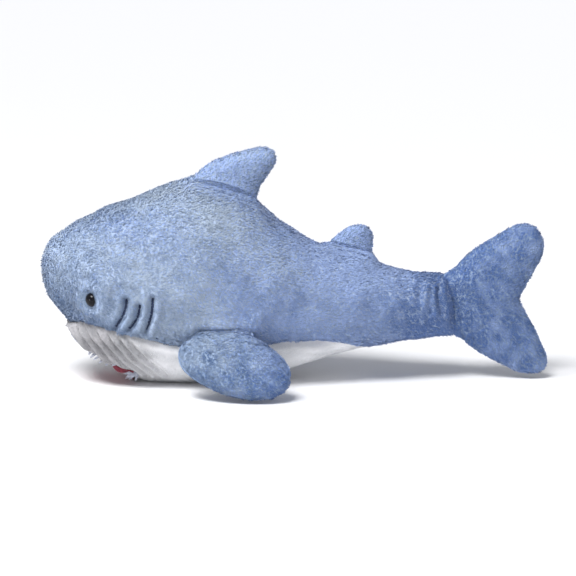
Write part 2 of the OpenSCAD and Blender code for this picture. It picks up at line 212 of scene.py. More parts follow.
def section(s):
    """Middle height, half height and half width of the body at a distance from the nose."""
    r = nose_round(s)
    top = NOSE_Z + (curve(TOP, s) - NOSE_Z) * r
    bottom = NOSE_Z + (curve(BOTTOM, s) - NOSE_Z) * r
    return (top + bottom) / 2, (top - bottom) / 2, curve(WIDTH, s) * r


def stock_lean(s):
    """How far the slices of the tail stock lean for each millimetre up."""
    return -0.14 * smooth((s - 360) / 53)


def body_point(s, a):
    """Angle a runs from 0 under the belly to pi on the back; it is negative on the left side."""
    mid, half, width = section(s)
    rise = -half * np.cos(a)
    return np.stack([NOSE_X + s + stock_lean(s) * rise, width * np.sin(a), mid + rise], -1)


def body_normal(s, a):
    """Outward normal of the body's plain shape."""
    step = 0.05
    behind = np.minimum(s + step, BODY_LENGTH)
    along = (body_point(behind, a) - body_point(behind - step, a)) / step
    _, half, width = section(s)
    around = np.stack([stock_lean(s) * half * np.sin(a), width * np.cos(a), half * np.sin(a)], -1)
    return unit(np.cross(around, along))


def angle_at(s, z):
    """Angle of the body's surface at a height."""
    mid, half, _ = section(s)
    return np.arccos(np.clip((mid - z) / half, -1, 1))


def seam_angle(s):
    """Angle of the seam between side and belly, and 0 where the sides meet under the body."""
    inside = (s > SEAM[0][0]) & (s < SEAM[-1][0])
    held = np.clip(s, SEAM[0][0], SEAM[-1][0])
    return np.where(inside, angle_at(s, curve(SEAM, held)), 0.0)


def eye_place():
    """Distance from the nose and height of an eye's middle."""
    p = body_point(np.array(EYE_STATION), np.array(EYE_ANGLE))
    return p[0] - NOSE_X, p[2]


def gill_line(gill, count=12):
    """Points (s, z) down a gill slit."""
    t = np.linspace(0, 1, count)
    return list(zip(gill[0] - gill[2] * t * t, gill[1] + (GILL_BOTTOM - gill[1]) * t))


def mouth_depth_in(s, y):
    """How far inside the mouth's outline a point is, seen from below."""
    q = np.sqrt(((MOUTH_CORNER - s) / MOUTH_LENGTH) ** 2 + (y / (MOUTH_WIDTH / 2)) ** 2)
    return np.minimum((1 - q) * 42, MOUTH_CORNER - s)


def corner_fold(s, y):
    """1 by the corners of the mouth, where the lining comes close to the lips, and 0 elsewhere."""
    return smooth((np.abs(y) - 25) / 9) * smooth((s - 64) / 9)


def stuffed(p):
    """Lumps of the stuffing under the cloth."""
    return 1.3 * lumps(p, 75, 3) + 0.6 * lumps(p, 34, 4)


def pressed_lines(s, z):
    """The sunken folds of the gill slits and the creases by the tail."""
    out = 0
    for gill in GILLS:
        d = line_distance(s, z, gill_line(gill))
        out = out - 5.0 * hump(d, 2.6) + 2.2 * hump(d - 6.5, 4.0)
    for line, width, depth, ridge in CREASES:
        d = line_distance(s, z, line)
        out = out - depth * hump(d, width) + ridge * hump(d - 1.9 * width, width)
    return out


def eye_socket(s, z):
    """A seat for the eye that turns it a little forward, a soft rim round it, and the brow behind it."""
    eye_s, eye_z = eye_place()
    r = np.hypot(s - eye_s, z - eye_z)
    seat = (0.8 + 0.36 * np.clip(s - eye_s, -8, 8)) * hump(r, 8)
    brow = 2.0 * hump(np.hypot(s - 67, z - 110), 9)
    return 2.8 * hump(r - 12.5, 5.5) + seat + brow


def fin_roots(s, y, z):
    """Cloth that rises to each fin, with a groove along its seam."""
    beside_fin = smooth((s - 140) / 13) * smooth((224 - s) / 13)
    crease = smooth((s - 150) / 8) * smooth((204 - s) / 8)
    out = 4.6 * beside_fin * hump(z - 69, 10) - 1.8 * crease * hump(z - 66.5, 2.4)
    for (front, rear), half_width, rise in DORSAL_ROOTS:
        along = smooth((s - front + 9) / 12) * smooth((rear + 9 - s) / 12) * (z > 100)
        beside = np.abs(y) - half_width
        out = out + (rise * smooth((11 - beside) / 14) - 2.4 * hump(beside, 2.6)) * along
    return out


def side_relief(s, a, p):
    """How far the stuffed side stands off its plain shape."""
    y, z = p[..., 1], p[..., 2]
    out = stuffed(p) + pressed_lines(s, z) + eye_socket(s, z) + fin_roots(s, y, z)
    from_seam = (np.abs(a) - seam_angle(s)) * section(s)[2]
    has_seam = smooth((s - 24) / 10) * smooth((312 - s) / 34)
    out = out + (1.2 * hump(from_seam - 14, 9) - 4.0 * hump(from_seam, 5.0)) * has_seam
    from_back = (math.pi - np.abs(a)) * section(s)[2]
    out = out - 0.8 * hump(from_back, 3.0) - 1.6 * smooth((s - 406) / 7)
    return out * smooth(s / 14)


def belly_relief(s, a, p):
    """Pleats, the seam's groove and the turned-in lips of the white cloth."""
    y, z = p[..., 1], p[..., 2]
    from_seam = (seam_angle(s) - np.abs(a)) * section(s)[2]
    out = stuffed(p) * (1 - 0.6 * smooth(from_seam / 14))
    groove = 4.2 * hump(from_seam, 3.5) - 1.0 * hump(from_seam - 9, 6)
    out = out - groove * smooth((312 - s) / 34)
    inside = mouth_depth_in(s, y)
    out = out + pleats(s, z, p) * smooth(from_seam / 9) * smooth((1 - inside) / 6)
    far = smooth((s - 200) / 40) * smooth((312 - s) / 30)
    out = out + 0.9 * np.sin(s / 4.6 + np.abs(y) * 0.12) * far * hump(from_seam - 6, 9)
    lip = 3.2 * hump(inside + 6.0, 6.0) * smooth((80 - s) / 14)
    return out + lip - (11.0 - 8.0 * corner_fold(s, y)) * smooth((inside + 1.5) / 9.0)


def pleats(s, z, p):
    """Folds of the white cloth that run down and back from the seam to the corner of the mouth."""
    slope = math.radians(PLEAT_SLOPE)
    across = z * math.cos(slope) + s * math.sin(slope)
    wave = np.cos(2 * math.pi * (across + 0.9 * lumps(p, 40, 6) - PLEAT_FIRST) / PLEAT_SPACING)
    fade = smooth((PLEAT_LAST - across) / 12) * smooth((z - 4) / 10)
    return -PLEAT_HEIGHT * (wave + 0.25 * (1 - wave * wave)) * fade


def raised(s, a, relief, inset):
    """Body point with its relief, kept above the floor."""
    p = body_point(s, a)
    q = p + (relief(s, a, p) - inset)[..., None] * body_normal(s, a)
    floor = 0.5 + 0.25 * np.minimum(inset, 12)
    q[..., 2] = np.maximum(q[..., 2], floor)
    return q


def side_grid(side, inset):
    """Grid over one blue side, from the nose to the root of the tail fin."""
    nose = NOSE_LENGTH * (1 - np.cos(np.linspace(0.02, math.pi / 2, 34)))
    s = np.concatenate([nose, np.linspace(46.6, BODY_LENGTH, 220)])
    t = np.linspace(0, 1, 104)
    lower = seam_angle(s) + 0.002
    a = lower[:, None] + (math.pi - 0.003 - lower)[:, None] * t
    return raised(s[:, None] + 0 * a, side * a, side_relief, inset)


def belly_grid(inset):
    """Grid over the belly, from the snout to the point where the sides meet."""
    s = np.linspace(SEAM[0][0] + 0.2, SEAM[-1][0] - 0.2, 230)
    t = np.linspace(-1, 1, 170)
    a = (seam_angle(s) - 0.004)[:, None] * t
    return raised(s[:, None] + 0 * a, a, belly_relief, inset)


# ---------------- fins


def rim(x, power):
    """Thickness across a stuffed pillow: 0 at x = 0 and x = 1, and 1 between them."""
    return np.sqrt(np.clip(1 - np.abs(2 * np.clip(x, 0, 1) - 1) ** power, 0, 1))


def blade(lead, trail, bow, u, v):
    """Point (s, height) in a fin's plane, u from front to rear and v along its edges."""
    held = np.clip(v, 0, 1)
    p, q = spline(lead, held), spline(trail, held)
    m = p + (q - p) * np.clip(u, 0, 1)[..., None]
    m[..., 1] += bow * 4 * u * (1 - u) * (1 - held) ** 3
    return m


def puckers(along, edge):
    """Little gathers of the cloth close to a sewn edge."""
    return 0.7 * np.sin(along * 0.75) * np.exp(-edge / 5.0)


def rooted_fin(lead, trail, bow, thickness, fullness, reach, taper=0.25):
    """Surface of a fin whose root tapers into the body: a function of u, v and side."""

    def surface(u, v, side):
        m = blade(lead, trail, bow, u, v)
        below = np.minimum(v, 0)
        m[..., 1] += below * reach
        root = np.where(v < 0.5, rim(v, 3) * (1 - fullness) + fullness, rim(v, 3))
        swell = 1 + 0.18 * hump(np.maximum(v, 0), 0.09)
        t = thickness / 2 * rim(u, 2.4) * root * swell * (1 + taper * below)
        edge = 60 * np.minimum(np.minimum(u, 1 - u), np.abs(1 - v))
        t = t + puckers(m[..., 0] + m[..., 1], edge) * rim(u, 2) * rim(np.maximum(v, 0.3), 2)
        return m, side * np.maximum(t, 0.02)

    return surface


def tail_surface(u, v, side):
    """Surface of the tail fin, whose root goes forward into the tail stock."""
    reach, fullness, thickness = 15.0, 0.8, 27.0
    m = blade(TAIL_LEAD, TAIL_TRAIL, 0, u, v)
    rooted = smooth((0.135 - np.abs(v - 0.5)) / 0.07)
    forward = np.minimum(u, 0)
    m[..., 0] += forward * reach * rooted
    fill = np.where(u < 0.5, rim(u, 2.4) * (1 - fullness * rooted) + fullness * rooted, rim(u, 2.4))
    fill = np.where(u < 0, fullness * rooted * (1 + 0.3 * forward), fill)
    t = thickness / 2 * fill * rim(v, 3)
    edge = 60 * np.minimum(1 - u, np.minimum(v, 1 - v) * 3)
    t = t + puckers(m[..., 0] + m[..., 1] * 1.3, edge) * rim(v, 2) * rim(np.maximum(u, 0.3), 2)
    return m, side * np.maximum(t, 0.02)


def upright(m, t):
    """Points of a fin that stands on the body's middle plane."""
    return np.stack([NOSE_X + m[..., 0], t, m[..., 1]], -1)


def drooped(side):
    """Points of a pectoral fin, which bends down off the body on one side."""

    def place(m, t):
        b = m[..., 1]
        angle = PECTORAL_DROOP + PECTORAL_CURL * b
        out = (np.sin(angle) - math.sin(PECTORAL_DROOP)) / PECTORAL_CURL
        down = (math.cos(PECTORAL_DROOP) - np.cos(angle)) / PECTORAL_CURL
        y = PECTORAL_ROOT[0] + out + t * np.sin(angle)
        z = PECTORAL_ROOT[1] - down + t * np.cos(angle)
        return np.stack([NOSE_X + m[..., 0], side * y, z], -1)

    return place


def eased(low, high, count):
    """Values between two ends, closer together near both."""
    return low + (high - low) * (1 - np.cos(np.linspace(0, math.pi, count))) / 2


def fin_grids(surface, place, skirt_on_u, rows, columns, inset):
    """The two faces of a fin, set in from its outline, with a skirt of cloth that goes into the body."""
    if skirt_on_u:
        u = np.concatenate([np.linspace(-1, -0.1, 8), eased(0, 1, columns)])
        v = eased(0, 1, rows)
    else:
        u = eased(0, 1, columns)
        v = np.concatenate([np.linspace(-1, -0.1, 8), eased(0, 1, rows)])
    vv, uu = np.meshgrid(v, u, indexing="ij")
    grids = []
    for side in (-1, 1):
        m, t = surface(uu, vv, side)
        centre = m[rows // 2 :].reshape(-1, 2).mean(0)
        radius = np.linalg.norm(m[8:, 8:] - centre, axis=-1).max()
        m = centre + (m - centre) * (1 - inset / radius)
        grids.append(place(m, side * np.maximum(np.abs(t) - inset, 0.02)))
    return grids


# ---------------- meshes


def grid_normals(grid):
    """Unit normals at the points of a grid, to the side that rows x columns turns to."""
    down = np.gradient(grid, axis=0)
    across = np.gradient(grid, axis=1)
    return unit(np.cross(across, down))


def linked(name, data):
    """Object in the scene for a mesh, a light or a camera."""
    obj = bpy.data.objects.new(name, data)
    bpy.context.scene.collection.objects.link(obj)
    return obj


def new_object(name, verts, faces, materials, smooth_shading=True):
    """Mesh object from points in metres."""
    mesh = bpy.data.meshes.new(name)
    mesh.from_pydata(verts.tolist(), [], faces.tolist() if hasattr(faces, "tolist") else faces)
    for material in materials:
        mesh.materials.append(material)
    if smooth_shading:
        mesh.polygons.foreach_set("use_smooth", [True] * len(mesh.polygons))
    mesh.update()
    return linked(name, mesh)


def quads(rows, columns):
    """Faces between the points of a grid."""
    i = (np.arange(rows - 1)[:, None] * columns + np.arange(columns - 1)).ravel()
    return np.stack([i, i + 1, i + columns + 1, i + columns], 1)


def tube_faces(rings, sides):
    """Faces of a closed tube through rings of points."""
    faces = [list(range(sides))[::-1]]
    for i in range(0, (rings - 1) * sides, sides):
        for j in range(sides):
            n = (j + 1) % sides
            faces.append([i + j, i + n, i + sides + n, i + sides + j])
    faces.append(list(range((rings - 1) * sides, rings * sides)))
    return faces


def tube(name, grid, materials):
    """Closed object through a row of rings."""
    rings, sides = grid.shape[:2]
    return new_object(name, grid.reshape(-1, 3) * MM, tube_faces(rings, sides), materials)


def shell(name, outer, thickness, materials, keep=None):
    """Closed sheet of cloth of some thickness whose outer face is a grid."""
    rows, columns = outer.shape[:2]
    normals = grid_normals(outer)
    if np.mean(np.sum(normals * (outer - outer.reshape(-1, 3).mean(0)), -1)) < 0:
        outer = outer[:, ::-1]
        normals = grid_normals(outer)
        keep = None if keep is None else keep[:, ::-1]
    inner = outer - thickness * normals
    inner[..., 2] = np.maximum(inner[..., 2], FLOOR_GAP)
    count = rows * columns
    top = quads(rows, columns)
    if keep is not None:
        top = top[keep.ravel()[top].all(1)]
    wall = open_edges(top, count)
    faces = np.concatenate([top[:, ::-1], top + count, wall[:, ::-1]])
    verts = np.concatenate([outer.reshape(-1, 3), inner.reshape(-1, 3)]) * MM
    used = np.zeros(2 * count, bool)
    used[faces] = True
    renumber = np.cumsum(used) - 1
    return new_object(name, verts[used], renumber[faces], materials)


def open_edges(faces, count):
    """Wall quads along every open edge of a sheet of quads."""
    edges = np.concatenate([faces[:, [k, (k + 1) % 4]] for k in range(4)])
    key = np.sort(edges, 1) @ np.array([4 * count, 1])
    _, first, number = np.unique(key, return_index=True, return_counts=True)
    e = edges[first[number == 1]]
    return np.stack([e[:, 0], e[:, 0] + count, e[:, 1] + count, e[:, 1]], 1)


# ---------------- pile


def scatter(grid, per_mm2, seed, inner):
    """Random points over a grid, with their normals away from the inner points."""
    rng = np.random.default_rng(seed)
    normals = grid_normals(grid)
    if np.mean(np.sum(normals * (grid - inner), -1)) < 0:
        normals = -normals
    a, b, c, d = grid[:-1, :-1], grid[:-1, 1:], grid[1:, 1:], grid[1:, :-1]
    area = np.linalg.norm(np.cross(c - a, d - b), axis=-1).ravel() / 2
    number = int(area.sum() * per_mm2)
    cell = np.searchsorted(np.cumsum(area), rng.uniform(0, area.sum(), number))
    cell = np.minimum(cell, len(area) - 1)
    i, j = np.divmod(cell, grid.shape[1] - 1)
    f, g = rng.uniform(size=(2, number, 1))

    def mixed(x):
        top = x[i, j] * (1 - g) + x[i, j + 1] * g
        low = x[i + 1, j] * (1 - g) + x[i + 1, j + 1] * g
        return top * (1 - f) + low * f

    return mixed(grid), unit(mixed(normals)), rng


def clump_ends(roots, tips, per_clump, rng):
    """The tip of the clump that each tuft leans to."""
    number = max(len(roots) // per_clump, 1)
    chosen = rng.choice(len(roots), number, replace=False)
    tree = KDTree(number)
    for k, c in enumerate(chosen):
        tree.insert(roots[c], k)
    tree.balance()
    nearest = np.array([tree.find(r)[1] for r in roots])
    return tips[chosen][nearest], nearest


def tuft_points(patch, length, width, per_clump, gather):
    """Corners of each tuft, which is a flat kite from root to tip, and the tufts' nap and clump."""
    roots, normals, nap, factor, rng = patch
    n = len(roots)
    flat = nap - np.sum(nap * normals, -1, keepdims=True) * normals
    nap = unit(flat + 0.30 * rng.normal(size=(n, 3)))
    size = (length * factor * rng.uniform(0.75, 1.2, n))[:, None]
    lean = rng.uniform(0.55, 0.95, (n, 1))
    middle = roots + size * (0.19 * normals + 0.36 * lean * nap)
    tip = roots + size * (0.26 * normals + 0.98 * lean * nap)
    gathered, clump = clump_ends(roots, tip, per_clump, rng)
    near = np.linalg.norm(gathered - tip, axis=-1, keepdims=True) < 2.2 * length
    tip = np.where(near, tip + gather * (gathered - tip), tip)
    middle = np.where(near, middle + 0.3 * gather * (gathered - tip), middle)
    across = unit(np.cross(nap, normals) + 0.35 * rng.normal(size=(n, 3)))
    wide = (width * rng.uniform(0.7, 1.25, n))[:, None]
    low = roots - 0.5 * normals
    verts = np.stack([low, middle + wide / 2 * across, middle - wide / 2 * across, tip], 1)
    verts[..., 2] = np.maximum(verts[..., 2], FLOOR_GAP)
    return verts, nap, clump


def tuft_shade(roots, clump, rng, hues, bias):
    """Number of each tuft's darker shade, counted on from one hue to the next."""
    n = len(roots)
    tone = 0.4 * lumps(roots, 20, 11) + 0.4 * lumps(roots, 70, 12) + 0.25 * rng.normal(size=n)
    tone = tone + rng.normal(size=clump.max() + 1)[clump] * 0.25 + bias(roots)
    shade = np.clip(np.round((SHADES - 1) / 2 + tone), 0, SHADES - 2).astype(int)
    behind = 2.3 * smooth((roots[:, 0] + 150) / 190) - 1.0
    second = 0.35 * lumps(roots, 90, 13) + 0.7 * rng.normal(size=n) + behind > 0
    return shade + SHADES * (second & (hues > 1))


def pile(name, patches, length, width, hues, bias, per_clump=16, gather=0.32):
    """Tufts of pile as one mesh, each hue a list of shades from dark to light.

    A patch is (roots, normals, nap, length factor, random generator). The bias is how many shades
    lighter the pile is at a point, mostly painted light and shade, and the second hue takes over towards
    the tail.
    """
    all_verts, all_shade, all_normals = [], [], []
    for patch in patches:
        roots, normals, rng = patch[0], patch[1], patch[4]
        verts, nap, clump = tuft_points(patch, length, width, per_clump, gather)
        shade = tuft_shade(roots, clump, rng, len(hues), bias)
        bright = unit(normals + 0.08 * rng.normal(size=(len(roots), 3)) + 0.10 * nap)
        all_verts.append(verts.reshape(-1, 3))
        # Each tuft's root half is a shade lighter than its tip half: painted light against the shade
        # between the tufts
        all_shade.append(np.stack([shade + 1, shade], 1).ravel())
        all_normals.append(np.repeat(bright, 4, axis=0))
    verts = np.concatenate(all_verts) * MM
    base = np.arange(len(verts) // 4)[:, None] * 4
    faces = np.concatenate([base + [0, 1, 2], base + [2, 1, 3]], 1).reshape(-1, 3)
    materials = [material for hue in hues for material in hue]
    shade, normals = np.concatenate(all_shade), np.concatenate(all_normals)
    return tuft_mesh(name, verts, faces, shade, normals, materials)


def tuft_mesh(name, verts, faces, shade, normals, materials):
    """Mesh of tufts that is shaded by the direction of the cloth below."""
    a, b, c = verts[faces[:, 0]], verts[faces[:, 1]], verts[faces[:, 2]]
    turned = np.sum(np.cross(b - a, c - a) * normals[faces[:, 0]], -1) < 0
    faces[turned] = faces[turned][:, ::-1]
    mesh = bpy.data.meshes.new(name)
    mesh.vertices.add(len(verts))
    mesh.vertices.foreach_set("co", verts.astype(np.float32).ravel())
    mesh.loops.add(len(faces) * 3)
    mesh.loops.foreach_set("vertex_index", faces.astype(np.int32).ravel())
    mesh.polygons.add(len(faces))
    mesh.polygons.foreach_set("loop_start", np.arange(0, len(faces) * 3, 3, dtype=np.int32))
    for material in materials:
        mesh.materials.append(material)
    mesh.polygons.foreach_set("material_index", shade.astype(np.int32))
    mesh.update(calc_edges=True)
    mesh.polygons.foreach_set("use_smooth", np.ones(len(faces), bool))
    mesh.normals_split_custom_set_from_vertices(normals.tolist())
    return linked(name, mesh)


# ---------------- materials


WHITE = (1.0, 1.0, 1.0)


def principled(name, colour, roughness, sheen=0.0, tint=WHITE, specular=0.3):
    """Material with its shader, ready for its nodes."""
    material = bpy.data.materials.new(name)
    material.use_nodes = True
    shader = material.node_tree.nodes["Principled BSDF"]
    shader.inputs["Base Color"].default_value = (*colour, 1)
    shader.inputs["Roughness"].default_value = roughness
    shader.inputs["Sheen Weight"].default_value = sheen
    shader.inputs["Sheen Roughness"].default_value = 0.45
    shader.inputs["Sheen Tint"].default_value = (*tint, 1)
    shader.inputs["Specular IOR Level"].default_value = specular
    return material, shader


def add_node(material, kind, **values):
    """Shader node with some of its inputs set."""
    node = material.node_tree.nodes.new("ShaderNode" + kind)
    for name, value in values.items():
        node.inputs[name].default_value = value
    return node


def noise(material, scale, detail=4.0, stretch=(1, 1, 1)):
    """Noise that is fixed to the piece."""
    links = material.node_tree.links
    where = add_node(material, "TexCoord")
    mapping = add_node(material, "Mapping", Scale=stretch)
    texture = add_node(material, "TexNoise", Scale=scale, Detail=detail)
    links.new(where.outputs["Object"], mapping.inputs["Vector"])
    links.new(mapping.outputs["Vector"], texture.inputs["Vector"])
    return texture


def ramp(material, source, stops):
    """Colour that depends on a value, with a stop (value, colour) for each bend."""
    node = add_node(material, "ValToRGB")
    elements = node.color_ramp.elements
    while len(elements) < len(stops):
        elements.new(0.5)
    for element, (place, colour) in zip(elements, stops):
        element.position = place
        element.color = (*colour, 1)
    material.node_tree.links.new(source, node.inputs["Fac"])
    return node.outputs["Color"]


def bump(material, shader, source, strength, distance):
    links = material.node_tree.links
    node = add_node(material, "Bump", Strength=strength, Distance=distance)
    links.new(source, node.inputs["Height"])
    links.new(node.outputs["Normal"], shader.inputs["Normal"])


def plush_cloth(name, dark, light, front=WHITE):
    """Woven backing and deep pile below the tufts, with a painted shade under the snout."""
    material, shader = principled(name, light, 0.95, 0.35, light)
    wide = noise(material, 55, 5, (0.6, 1, 1))
    fine = noise(material, 900, 3)
    links = material.node_tree.links
    uneven = ramp(material, wide.outputs["Fac"], [(0.35, dark), (0.65, light)])
    links.new(with_painted_snout_shade(material, uneven, front), shader.inputs["Base Color"])
    rough = ramp(material, fine.outputs["Fac"], [(0.3, (0.8, 0.8, 0.8)), (0.7, WHITE)])
    links.new(rough, shader.inputs["Roughness"])
    bump(material, shader, fine.outputs["Fac"], 0.6, 0.0012)
    return material


def with_painted_snout_shade(material, colour, front):
    """Colour multiplied by a painted shade that fades out from under the snout to the middle of the
    body.
    """
    links = material.node_tree.links
    where = add_node(material, "TexCoord")
    split = add_node(material, "SeparateXYZ")
    reach = add_node(material, "MapRange", **{"From Min": -0.19, "From Max": -0.11})
    mix = add_node(material, "MixRGB", Fac=1.0)
    mix.blend_type = "MULTIPLY"
    links.new(where.outputs["Object"], split.inputs["Vector"])
    links.new(split.outputs["X"], reach.inputs["Value"])
    tint = ramp(material, reach.outputs["Result"], [(0.0, front), (1.0, WHITE)])
    links.new(colour, mix.inputs["Color1"])
    links.new(tint, mix.inputs["Color2"])
    return mix.outputs["Color"]


def tuft_shades(name, low, high, sheen):
    """One plain shade of dyed fibre for each step from the darkest to the lightest."""
    low, high = np.array(low), np.array(high)
    shades = []
    for k in range(SHADES):
        colour = low + (high - low) * k / (SHADES - 1)
        shades.append(principled(f"{name}_{k}", colour, 0.85, sheen, (0.75, 0.82, 1.0), 0.15)[0])
    return shades


def mottled(name, dark, light, scale, roughness, height, sheen=0.0, distance=0.0006):
    """Cloth, felt, fibre or plastic with fine uneven colour and a little relief."""
    material, shader = principled(name, light, roughness, sheen)
    texture = noise(material, scale, 6)
    uneven = ramp(material, texture.outputs["Fac"], [(0.3, dark), (0.7, light)])
    material.node_tree.links.new(uneven, shader.inputs["Base Color"])
    bump(material, shader, texture.outputs["Fac"], height, distance)
    return material


def eye_gloss():
    """Black polished plastic with a faint cloud in it."""
    material, shader = principled("eye_gloss", (0.004, 0.004, 0.006), 0.06)
    shader.inputs["IOR"].default_value = 1.36
    texture = noise(material, 140, 4)
    dark, light = (0.003, 0.003, 0.005), (0.009, 0.008, 0.010)
    cloud = ramp(material, texture.outputs["Fac"], [(0.3, dark), (0.8, light)])
    material.node_tree.links.new(cloud, shader.inputs["Base Color"])
    return material


# The body's backing is lighter than its tufts: painted light against the shade deep in the pile
blue_cloth = plush_cloth("blue_plush_backing", (0.30, 0.39, 0.56), (0.40, 0.49, 0.66))
fin_cloth = plush_cloth("blue_fin_backing", (0.20, 0.28, 0.43), (0.29, 0.38, 0.54))
# The white backing's last colour is a painted shade under the snout
white_cloth = plush_cloth("white_plush_backing", (0.70, 0.71, 0.73), (0.92, 0.92, 0.94),
                          (0.43, 0.42, 0.43))
blue_tufts = [tuft_shades("grey_blue_pile", (0.125, 0.195, 0.340), (0.425, 0.505, 0.610), 0.3),
              tuft_shades("lilac_blue_pile", (0.100, 0.175, 0.400), (0.390, 0.510, 0.810), 0.3)]
white_tufts = [tuft_shades("white_pile", (0.27, 0.267, 0.28), (0.93, 0.935, 0.945), 0.15)]
fibre = mottled("polyester_fibre", (0.72, 0.70, 0.64), (0.93, 0.92, 0.88), 160, 0.9, 0.8, 0.3, 0.002)
red_cloth = mottled("red_lining_cloth", (0.085, 0.010, 0.020), (0.21, 0.026, 0.046), 420, 0.85, 0.7, 0.2)
felt = mottled("tooth_felt", (0.28, 0.30, 0.38), (0.58, 0.60, 0.68), 420, 0.95, 0.8, 0.3)
navy_thread = mottled("navy_thread", (0.010, 0.018, 0.050), (0.030, 0.050, 0.12),
                      1400, 0.55, 0.6, 0.2, 0.0003)
pale_thread = mottled("pale_thread", (0.50, 0.56, 0.70), (0.70, 0.76, 0.88),
                      1400, 0.6, 0.6, 0.2, 0.0003)
washer_plastic = mottled("washer_plastic", (0.70, 0.70, 0.68), (0.82, 0.82, 0.80),
                         300, 0.45, 0.15, 0, 0.0002)
eye_plastic = eye_gloss()


# ---------------- body pieces

# The tail bends between these two points
TAIL_BLEND = ("torso", "tail_stock", (0.062, 0, 0.075), (0.118, 0, 0.075))


def finish_piece(obj, replaces=(), body=None, blend=None):
    """Sets a piece on its body, or bakes a blended piece's place into its mesh, and hides the CAD parts
    it replaces.
    """
    if blend:
        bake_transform(obj)
    else:
        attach(obj, body)
    if replaces:
        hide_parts(*replaces)


def body_nap(p):
    """The pile lies back to the tail and a little down."""
    nap = np.zeros_like(p)
    nap[:, 0] = 1.0
    nap[:, 2] = -0.30 + 0.25 * lumps(p, 90, 21)
    nap[:, 1] = 0.10 * lumps(p, 80, 22)
    return nap


def blue_painted_shading(p):
    """Painted shade and light in the blue pile: darker low down, at the cheeks, in the tucks of the tail
    stock and towards the tail, and lighter on the back.
    """
    x, z = p[:, 0], p[:, 2]
    head = smooth((-130 - x) / 60)
    rear = smooth((x - 50) / 110)
    low = smooth((82 - z) / 60) * smooth((90 - x) / 60)
    back = smooth((z - 75) / 45) * smooth((x + 10) / 50) * smooth((150 - x) / 40)
    cheek = head * smooth((125 - z) / 50)
    # Painted shade low down, at the cheeks and towards the tail, and painted light on the back
    tone = 0.9 - 0.8 * head - 0.9 * cheek - 2.4 * rear - 2.6 * low + 2.0 * back
    # Painted shade in the tucks of the tail stock and at the root of the tail fin
    return tone - 1.8 * hump(x - 162, 20) - 1.7 * hump(x - 122, 24)


def fin_brushing_and_shading(p):
    """The fins are more unevenly brushed than the body, carry the body's painted shade and light, and
    have painted light high up on the dorsal fins.
    """
    # Painted light high up on the dorsal fins
    high = smooth((p[:, 2] - 120) / 20) * smooth((120 - p[:, 0]) / 40)
    return blue_painted_shading(p) + 0.7 * lumps(p, 17, 15) + 1.7 * high


def white_painted_shade(p):
    """Painted shade: the white pile is greyer under the snout."""
    return -2.3 + 4.9 * smooth((p[:, 0] + 188) / 70)


def eye_distance(p):
    """Distance from the eye in the side view, where the turned eye looks a little narrow."""
    eye_s, eye_z = eye_place()
    r = np.hypot((p[:, 0] - NOSE_X - eye_s) * 1.12, p[:, 2] - eye_z)
    return np.where(np.abs(p[:, 1]) > 25, r, 99.0)


def gill_distance(p):
    """Distance from the nearest gill slit in the side view."""
    s, z = p[:, 0] - NOSE_X, p[:, 2]
    return np.min([line_distance(s, z, gill_line(gill)) for gill in GILLS], axis=0)


def add_sides():
    """Blue cloth and pile, left open for the eyes and the gill slits and shorter next to them."""
    for side, name in ((-1, "left"), (1, "right")):
        grid = side_grid(side, SKIN_INSET)
        skin = shell(f"{name}_side_cloth", grid, CLOTH, [blue_cloth])
        panels = (f"{name}_side_panel", f"{name}_stock_panel")
        finish_piece(skin, panels, blend=TAIL_BLEND)
        spine = grid.mean(1, keepdims=True) * [1, 0, 1]
        roots, normals, rng = scatter(grid, SIDE_DENSITY, 100 + side, spine)
        eye, gill = eye_distance(roots), gill_distance(roots)
        keep = (eye > 7.4) & (gill > 1.1)
        factor = np.where(eye < 13, 0.62, 1.0) * np.where(gill < 4.5, 0.6, 1.0)
        patch = (roots[keep], normals[keep], body_nap(roots[keep]), factor[keep], rng)
        fur = pile(f"{name}_side_pile", [patch], PILE, PILE_WIDTH, blue_tufts, blue_painted_shading)
        finish_piece(fur, blend=TAIL_BLEND)


def add_belly():
    """White cloth with its opening for the mouth, and its short pile."""
    grid = belly_grid(BELLY_INSET)
    s, y = grid[..., 0] - NOSE_X, grid[..., 1]
    keep = mouth_depth_in(s, y) < 5.0 - 3.5 * corner_fold(s, y)
    skin = shell("belly_cloth", grid, CLOTH, [white_cloth], keep)
    finish_piece(skin, ("belly_panel",), body="torso")
    roots, normals, rng = scatter(grid, BELLY_DENSITY, 120, grid + [0, 0, 1])
    outside = mouth_depth_in(roots[:, 0] - NOSE_X, roots[:, 1]) < 1.0
    roots, normals = roots[outside], normals[outside]
    patch = (roots, normals, body_nap(roots), np.ones(len(roots)), rng)
    fur = pile("belly_pile", [patch], BELLY_PILE, BELLY_PILE_WIDTH, white_tufts, white_painted_shade, 5, 0.2)
    finish_piece(fur, body="torso")


def add_stuffing():
    """Fibre that fills the body, clear of its cloth and of the mouth's pocket."""
    s = np.linspace(9, 404, 110)
    a = np.linspace(0, 2 * math.pi, 80, endpoint=False)
    ss, aa = np.meshgrid(s, a, indexing="ij")
    p = body_point(ss, aa)
    from_below = np.minimum(aa, 2 * math.pi - aa)
    low = smooth((1.2 - from_below) / 0.4)
    pocket = 13.0 * smooth((mouth_depth_in(ss, p[..., 1]) + 5) / 9) * low
    under_seam = 4.0 * hump((from_below - seam_angle(ss)) * section(ss)[2], 11)
    depth = 8.4 + 1.0 * lumps(p, 22, 31) + pocket + under_seam
    q = p - depth[..., None] * body_normal(ss, aa)
    q[..., 2] = np.maximum(q[..., 2], 5.0)
    stuffing = tube("body_stuffing", q, [fibre])
    fillings = ("body_filling", "stock_filling")
    finish_piece(stuffing, fillings, blend=TAIL_BLEND)


# ---------------- fins


